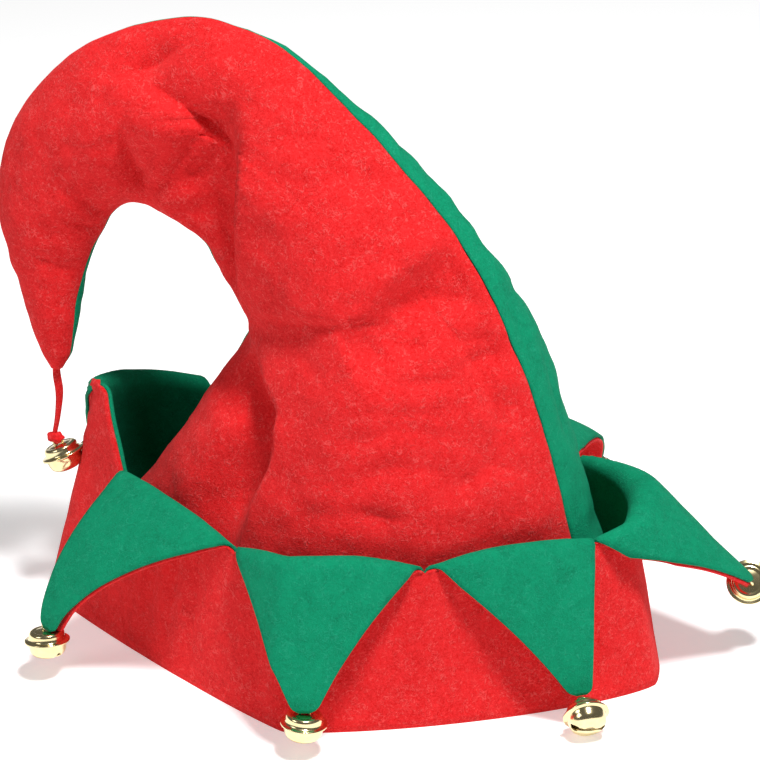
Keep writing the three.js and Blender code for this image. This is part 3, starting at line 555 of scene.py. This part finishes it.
def point_place(row, across, length, trim):
    """Places on a point of the cuff: across -1..1 and a length up from the valley line."""
    first, stand, roll, lean, droop, swing, skew, arch, long, _ = row
    (start, start_high), (end, end_high) = valley_of(first), valley_of(first + 1)
    whole = POINT_LENGTH * long
    left = 1 - length / whole
    near_end = np.clip((whole - length) / END_ROUND, 0, 1)
    rounding = 0.5 + 0.5 * np.sqrt(1 - (1 - near_end) ** 2)
    base_half = (end - start) / 2 * line_length[-1]
    hollowed = np.where(across > 0, 1.4, 1.0) if first == 0 else 1.08
    half = TIP_WIDTH / 2 + (base_half - TIP_WIDTH / 2) * np.maximum(left, 0) ** hollowed
    if first == 6:
        trim = np.where(across > 0, -trim, trim)
    offset = across * (rounding * half + trim * np.minimum(1, length / EDGE_EASE))
    middle = (start + end) / 2
    share = middle + offset / line_length[-1]
    u = offset / base_half
    foot = start_high + (end_high - start_high) * (u + 1) / 2
    crest = 1 if stand > 0.15 else 1 - u * u
    up = (stand * crest + skew * u) * POINT_LENGTH
    radius = np.maximum(LEAST_RADIUS, roll * FOLD_RADIUS * (1 - 0.6 * u * u))
    lean, droop = math.radians(lean), math.radians(droop)
    bend = math.pi - lean
    turned = np.clip((length - up) / radius, 0, bend)
    rest = np.maximum(0, length - up - radius * bend)
    out = radius - radius * np.cos(turned)
    rise = np.minimum(length, up) + radius * np.sin(turned)
    hanging = whole - stand * POINT_LENGTH - roll * FOLD_RADIUS * bend
    for i in range(DROOP_STEPS):
        through = (i + 0.5) / DROOP_STEPS * (rest / hanging)
        angle = lean + (droop - lean) * np.minimum(1, through) ** 2
        out = out + rest / DROOP_STEPS * np.sin(angle)
        rise = rise - rest / DROOP_STEPS * np.cos(angle)
    place = wall_point(share, foot + np.minimum(length, up))
    straight = outward_at(np.array(middle))
    c, s = math.cos(math.radians(swing)), math.sin(math.radians(swing))
    swung = np.array([straight[0] * c - straight[1] * s, straight[0] * s + straight[1] * c, 0])
    blend = 0.75 + 0.25 * np.minimum(1, out / (3 * radius))
    way = outward_at(share) * (1 - blend)[..., None] + swung * blend[..., None]
    way /= np.linalg.norm(way, axis=-1, keepdims=True)
    place = place + way * out[..., None]
    sag = arch * POINT_LENGTH * across * across * left
    place[..., 2] = foot + rise - sag * np.minimum(1, out / (2 * radius))
    return place


# Soft upright folds in the wall: share of the way round, then the lowest and the highest place,
# the half width and the depth in mm
FOLDS = (
    (0.102, 4, 44, 3.4, 1.3), (0.124, 8, 46, 2.8, 1.5), (0.146, 3, 42, 3.2, 1.3), (0.203, 10, 50, 4.5, 1.0),
    (0.298, 20, 54, 5, 1.1), (0.338, 14, 52, 4, 0.9), (0.42, 8, 50, 5, 1.2), (0.45, 6, 44, 4, 1.0),
    (0.02, 10, 60, 4, 1.2), (0.6, 12, 50, 5, 1.1), (0.7, 20, 54, 4, 1.0), (0.75, 15, 52, 5, 1.0),
    (0.87, 15, 55, 4, 1.1),
)


def fold_depth(spots, normals):
    """How far the cuff's wall is drawn in at each place by its folds; none where a point hangs over."""
    deep, z = np.zeros(len(spots)), spots[:, 2]
    for share, low, high, wide, depth in FOLDS:
        away = np.linalg.norm((spots - wall_point(share, np.clip(z, low, high)))[:, :2], axis=1)
        ends = np.clip(z / (low + 8), 0, 1) * np.clip((high + 10 - z) / 10, 0, 1)
        deep += depth * ends * np.exp(-((away / wide) ** 2))
    out = (spots[:, :2] * normals[:, :2]).sum(axis=1) / np.linalg.norm(spots[:, :2], axis=1)
    return deep * np.maximum(out, 0)


def cuff_sheet(trim, foot):
    """The cuff's middle surface as a bmesh, with how far the layers part at each vertex."""
    bm = bmesh.new()
    parted = bm.verts.layers.float.new("parted")
    ring = len(POINTS) * across_count
    bmesh.ops.create_grid(bm, x_segments=ring, y_segments=wall_rows, size=1)
    row, column = grid_points(bm, wall_rows, ring)
    number = (column // across_count) % len(POINTS)
    within = (column % across_count) / across_count
    ats = np.array([valley_of(n) for n in range(len(POINTS) + 1)])
    share = ats[number, 0] + (ats[number + 1, 0] - ats[number, 0]) * within
    top = ats[number, 1] + (ats[number + 1, 1] - ats[number, 1]) * within
    share = np.where(column == ring, share + 1, share)
    level = row / wall_rows
    for vertex, spot, k in zip(bm.verts, wall_point(share, top * level), level):
        vertex.co = spot if k > 0 else (spot[0], spot[1], foot)
    done = len(bm.verts)
    for point in POINTS:
        bmesh.ops.create_grid(bm, x_segments=across_count, y_segments=point_rows, size=1)
        bm.verts.ensure_lookup_table()
        fresh = bm.verts[done:]
        spots = np.array([v.co[:] for v in fresh])
        done = len(bm.verts)
        whole = POINT_LENGTH * point[8]
        length = (spots[:, 1] + 1) / 2 * whole
        to_end = whole - length
        ways = tip_spread * np.clip((tip_grip - to_end) / tip_ease, 0, 1) * (point[9] == "felt")
        laid = point_place(point, spots[:, 0], length, trim)
        for vertex, spot, way in zip(fresh, laid, ways):
            vertex.co = spot
            vertex[parted] = way
    bmesh.ops.remove_doubles(bm, verts=bm.verts, dist=0.001)
    bm.normal_update()
    return bm, parted


for name, node, felt, slot, sign, trim, foot in (
    ("cuff_red_layer", "cuff_outer", felt_red, "felt_red", 1, 0.35, 0),
    ("cuff_green_layer", "cuff_lining", felt_green, "felt_green", -1, -0.3, lining_lift),
):
    bm, parted = cuff_sheet(trim, foot)
    spots = np.array([vertex.co[:] for vertex in bm.verts])
    normals = np.array([vertex.normal[:] for vertex in bm.verts])
    folded = fold_depth(spots, normals)
    moved = []
    for vertex, drawn_in in zip(bm.verts, folded):
        normal = vertex.normal.copy()
        if vertex.co.z < foot + 0.01:
            normal.z = 0
            normal.normalize()
        lumps = sum(high * noise.noise(vertex.co / size) for size, high in LUMPS)
        away = sign * (layer_gap / 2 + vertex[parted] + cuff_felt / 2)
        away += lumps * min(1, vertex.co.z / lumps_from)
        away -= drawn_in
        moved.append((vertex.co + normal * away + Vector(RIM_CENTRE)) * MM)
    for vertex, co in zip(bm.verts, moved):
        vertex.co = co
    layer = felt_piece(name, node, bm, cuff_felt, felt)

# Bells: each is two pressed brass halves crimped together at a flange, with a slot across the
# bottom that widens at its ends and a wire loop on the flat top, stitched to the felt's end.
BELL_BODY, BELL_TOP, BELL_BOTTOM = 13.6, 3.9, 6.1
SHANK_RADIUS, SHANK_WIRE = 1.9, 1.0
BELL_HANG = BELL_TOP + SHANK_RADIUS * 1.72 + SHANK_WIRE / 2
bell_wall, slot_wide, slot_end, cut_deep = 0.45, 1.1, 1.4, 4
spin_steps, loop_steps = 64, 32
# radius and height from the flange, round the outside from the bottom to the top
bell_outline = (
    (0, -6.1), (2.2, -6.02), (4.2, -5.7), (5.3, -5.2), (6.1, -4.4), (6.5, -3.4), (6.7, -2.2), (6.78, -1.0),
    (7.0, -0.6), (7.9, -0.42), (8.1, -0.3), (8.1, 0.28), (7.9, 0.4), (6.95, 0.5), (6.6, 0.75),
    (6.45, 1.1), (6.3, 1.7), (6.35, 2.3), (6.3, 2.8), (6.0, 3.3), (5.5, 3.62), (4.9, 3.7), (4.4, 3.55),
    (4.0, 3.6), (3.2, 3.8), (1.5, 3.9), (0, 3.9),
)


def spun(rows, steps):
    """A closed shape spun from an outline of radius and height."""
    bm = bmesh.new()
    verts = [bm.verts.new((r, 0, z)) for r, z in rows]
    edges = [bm.edges.new(pair) for pair in zip(verts, verts[1:])]
    bmesh.ops.spin(bm, geom=verts + edges, cent=(0, 0, 0), axis=(0, 0, 1), angle=2 * math.pi,
                   steps=steps, use_merge=True)
    bmesh.ops.remove_doubles(bm, verts=bm.verts, dist=0.001)
    bmesh.ops.recalc_face_normals(bm, faces=bm.faces)
    return bm


inside = [(max(0, r - bell_wall), z * 0.9) for r, z in bell_outline if not -1.0 < z < 0.5]
shell = mesh_object("bell_shell", spun(bell_outline, spin_steps))
hollow = mesh_object("bell_hollow", spun(inside, spin_steps))
cutter_bm = bmesh.new()
slot_long = BELL_BODY * 0.74
made = bmesh.ops.create_cube(cutter_bm, size=1)
bmesh.ops.scale(cutter_bm, verts=made["verts"], vec=(slot_long, slot_wide, cut_deep))
bmesh.ops.translate(cutter_bm, verts=made["verts"], vec=(0, 0, -BELL_BOTTOM))
slot_cut = mesh_object("bell_slot", cutter_bm)
cutters = [hollow, slot_cut]
for end in (-1, 1):
    round_bm = bmesh.new()
    made = bmesh.ops.create_cone(round_bm, cap_ends=True, segments=24, radius1=slot_end,
                                 radius2=slot_end, depth=cut_deep)
    bmesh.ops.translate(round_bm, verts=made["verts"], vec=(end * slot_long / 2, 0, -BELL_BOTTOM + 1))
    cutters.append(mesh_object("bell_slot_end", round_bm))
for cutter in cutters:
    cut = shell.modifiers.new("cut", "BOOLEAN")
    cut.operation = "DIFFERENCE"
    cut.solver = "EXACT"
    cut.object = cutter
bpy.context.view_layer.update()
bell_mesh = bpy.data.meshes.new_from_object(shell.evaluated_get(bpy.context.evaluated_depsgraph_get()))
bell_bm = bmesh.new()
bell_bm.from_mesh(bell_mesh)
ring_bm = bmesh.new()
made = bmesh.ops.create_circle(ring_bm, segments=12, radius=SHANK_WIRE / 2)
bmesh.ops.translate(ring_bm, verts=made["verts"], vec=(SHANK_RADIUS, 0, 0))
bmesh.ops.spin(ring_bm, geom=ring_bm.verts[:] + ring_bm.edges[:], cent=(0, 0, 0), axis=(0, 1, 0),
               angle=2 * math.pi, steps=loop_steps, use_merge=True)
bmesh.ops.remove_doubles(ring_bm, verts=ring_bm.verts, dist=0.001)
bmesh.ops.recalc_face_normals(ring_bm, faces=ring_bm.faces)
bmesh.ops.translate(ring_bm, verts=ring_bm.verts, vec=(0, 0, BELL_TOP + SHANK_RADIUS * 0.72))
ring_mesh = bpy.data.meshes.new("bell_loop")
ring_bm.to_mesh(ring_mesh)
ring_bm.free()
bell_bm.from_mesh(ring_mesh)
for leftover in [shell] + cutters:
    bpy.data.objects.remove(leftover, do_unlink=True)

brass = bpy.data.materials.new("bell_brass")
brass.use_nodes = True
brass_nodes, brass_links = brass.node_tree.nodes, brass.node_tree.links
brass_shader = brass_nodes["Principled BSDF"]
brass_shader.inputs["Metallic"].default_value = 1
brass_spot = brass_nodes.new("ShaderNodeTexCoord")
tarnish = brass_nodes.new("ShaderNodeTexNoise")
tarnish.inputs["Scale"].default_value = 420
tarnish.inputs["Detail"].default_value = 4
brass_links.new(brass_spot.outputs["Object"], tarnish.inputs["Vector"])
tint = brass_nodes.new("ShaderNodeValToRGB")
tint.color_ramp.elements[0].color = (0.78, 0.62, 0.3, 1)
tint.color_ramp.elements[1].color = (0.93, 0.82, 0.5, 1)
brass_links.new(tarnish.outputs["Fac"], tint.inputs["Fac"])
brass_links.new(tint.outputs["Color"], brass_shader.inputs["Base Color"])
dulling = brass_nodes.new("ShaderNodeMapRange")
dulling.inputs["To Min"].default_value = 0.1
dulling.inputs["To Max"].default_value = 0.24
brass_links.new(tarnish.outputs["Fac"], dulling.inputs["Value"])
brass_links.new(dulling.outputs["Result"], brass_shader.inputs["Roughness"])


def add_bell(node, middle, top, side):
    """A bell with its flange's middle at a place, its top one way and its slot square to another."""
    up = Vector(top).normalized()
    right = Vector(side).cross(up).normalized()
    deep = up.cross(right)
    turn = Matrix((right, deep, up)).transposed().to_4x4()
    copy = bell_bm.copy()
    place = Matrix.Translation((Vector(middle) + Vector(RIM_CENTRE)) * MM) @ turn @ Matrix.Scale(MM, 4)
    bmesh.ops.transform(copy, matrix=place, verts=copy.verts)
    bell = mesh_object(f"jingle_{node}", copy, brass)
    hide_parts(node)
    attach(bell, "root")
    return bell


# Bells that hang from the point's end: direction of the top and slack in mm; then bells that stand
# upright under it: direction of the top
HUNG = {3: ((-0.42, 0.79, 0.43), 0.9), 4: ((0.15, -0.8, 0.58), 1.7)}
UPRIGHT = {1: (-0.1, 0.15, 1), 2: (0.05, 0.1, 1)}
corner_clear, seat_clear = 2.3, 0.6
for i, point in enumerate(POINTS):
    number = (i + 1) % len(POINTS)
    whole = POINT_LENGTH * point[8]
    looked_at = np.array([0, 0, 0.1, -0.1]), np.array([whole, whole - 3, whole, whole])
    spots = point_place(point, *looked_at, 0)
    end, before, right_side, left_side = (Vector(p) for p in spots)
    way = (end - before).normalized()
    facing = (right_side - left_side).cross(way).normalized()
    if number in HUNG:
        top, slack = HUNG[number]
        top = Vector(top).normalized()
        reach = BELL_HANG + slack
    else:
        top = -way
        reach = BELL_TOP + (corner_clear if number == 0 else seat_clear)
    middle = end - top * reach
    if number in UPRIGHT:
        top = Vector(UPRIGHT[number]).normalized()
    add_bell(f"bell_{number}", middle, top, facing)

# Strip at the peak: a narrow ribbon of red felt caught in the crown's tip, a little twisted, with
# its lower end through the wire loop of the last bell.
strip_width, strip_thick = 2.8, 1.3
strip_columns, first_turn, whole_twist = 6, 20, 70
knot_size, knot_shift = Vector((2.9, 2.2, 2.1)), Vector((0.5, -0.3, -1.2))
tip_outer, tip_inner = (panel_place("near", [1], [s])[0, 0] for s in (0, 1))
tip_middle = (tip_outer + tip_inner) / 2
# sideways x and y from the tip's middle and how far below it, in mm
strip_line = ((0, 0, -4), (-0.3, 0, 3), (0.2, 0.4, 11), (-0.6, -0.3, 20), (-2.4, 0, 28))
shares = np.linspace(0, 1, 25)
offsets = smooth_run(strip_line, shares)
strip_path = tip_middle * [1, 0, 1] + offsets * [1, 1, -1]
bm = bmesh.new()
bmesh.ops.create_grid(bm, x_segments=strip_columns, y_segments=len(shares) - 1, size=1)
row, column = grid_points(bm, len(shares) - 1, strip_columns)
for vertex, j, i in zip(bm.verts, row, column):
    twist = math.radians(first_turn + whole_twist * shares[j])
    aside = np.array([math.cos(twist), math.sin(twist), 0])
    neck = 0.62 + 0.38 * math.sin(math.pi * min(1, 0.15 + shares[j])) ** 2
    spot = strip_path[j] + aside * (i / strip_columns - 0.5) * strip_width * neck
    vertex.co = (spot + RIM_CENTRE) * MM
strip = felt_piece("peak_strip", "tip_strip", bm, strip_thick, felt_red)
tip_top = Vector((-0.4, 0.05, 0.92)).normalized()
tip_middle_of_bell = Vector(strip_path[-1]) - tip_top * (BELL_HANG + layer_gap)
tip_bell = add_bell("tip_bell", tip_middle_of_bell, tip_top, (0, 1, 0))
knot_bm = bmesh.new()
bmesh.ops.create_uvsphere(knot_bm, u_segments=28, v_segments=18, radius=1)
knot_middle = Vector(strip_path[-1]) + knot_shift
for vertex in knot_bm.verts:
    crumple = 1 + 0.35 * noise.noise(vertex.co * 1.6 + Vector((4, 1, 7)))
    vertex.co = vertex.co * knot_size * crumple
    vertex.co = (vertex.co + knot_middle + Vector(RIM_CENTRE)) * MM
knot = mesh_object("strip_knot", knot_bm, felt_red)
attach(knot, "root")
